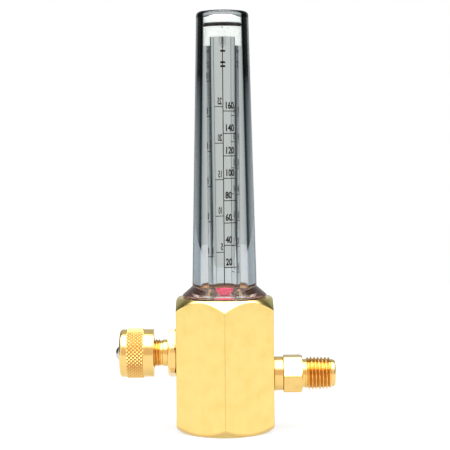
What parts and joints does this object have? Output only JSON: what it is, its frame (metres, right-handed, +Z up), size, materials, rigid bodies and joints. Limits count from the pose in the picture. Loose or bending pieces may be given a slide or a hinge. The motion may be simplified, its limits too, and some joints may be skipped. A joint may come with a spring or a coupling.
{
  "type": "gas flowmeter",
  "caption": "Gas flowmeter with a needle valve: hexagonal brass body, clear tapered cover over a scaled metering tube with a ball float, knurled valve knob and threaded side inlet.",
  "frame": {"origin": "centre of the body's flat bottom face, on the axis of the metering tube", "axes": "+Z up along the metering tube, +X out along the inlet, -X out along the valve knob, -Y towards the front corner of the hexagonal body, from where the scale is read"},
  "size_m": [0.0868, 0.044, 0.165],
  "materials": {
    "brass_bar": "polished",
    "turned_brass": "turned",
    "clear_cover": "clear",
    "clear_tube": "clear",
    "white_plastic": "satin",
    "black_rubber": "matte",
    "red_float": "gloss",
    "steel": "polished",
    "sintered_bronze": "porous"
  },
  "bodies": {
    "housing": {"body": "brass_bar", "tube_cover": "clear_cover", "cover_oring": "black_rubber", "flow_tube": "clear_tube", "tube_socket": "turned_brass", "socket_oring": "black_rubber", "tube_lower_oring": "black_rubber", "tube_upper_oring": "black_rubber", "lower_float_stop": "steel", "upper_float_stop": "steel", "tube_cap": "white_plastic", "cap_oring": "black_rubber", "inlet_nipple": "turned_brass", "inlet_filter": "sintered_bronze", "valve_bonnet": "turned_brass", "bonnet_oring": "black_rubber"},
    "float": {"float_ball": "red_float"},
    "valve_carriage": {"stem_oring": "black_rubber"},
    "valve": {"valve_stem": "steel", "knob": "turned_brass", "knob_screw": "steel"}
  },
  "joints": [
    {"name": "float_rise", "type": "slide", "parent": "housing", "child": "float", "axis": [0, 0, 1], "range_m": [0, 0.0931]},
    {"name": "valve_travel", "type": "slide", "parent": "housing", "child": "valve_carriage", "axis": [-1, 0, 0], "range_m": [-0.00106, 0.00212]},
    {"name": "valve_turn", "type": "hinge", "parent": "valve_carriage", "child": "valve", "pos_m": [-0.028, 0, 0.0306], "axis": [-1, 0, 0], "range_deg": [-360, 720]}
  ],
  "couplings": [
    {"joint": "valve_turn", "follows": "valve_travel", "rad_per_m": 5938.7}
  ]
}
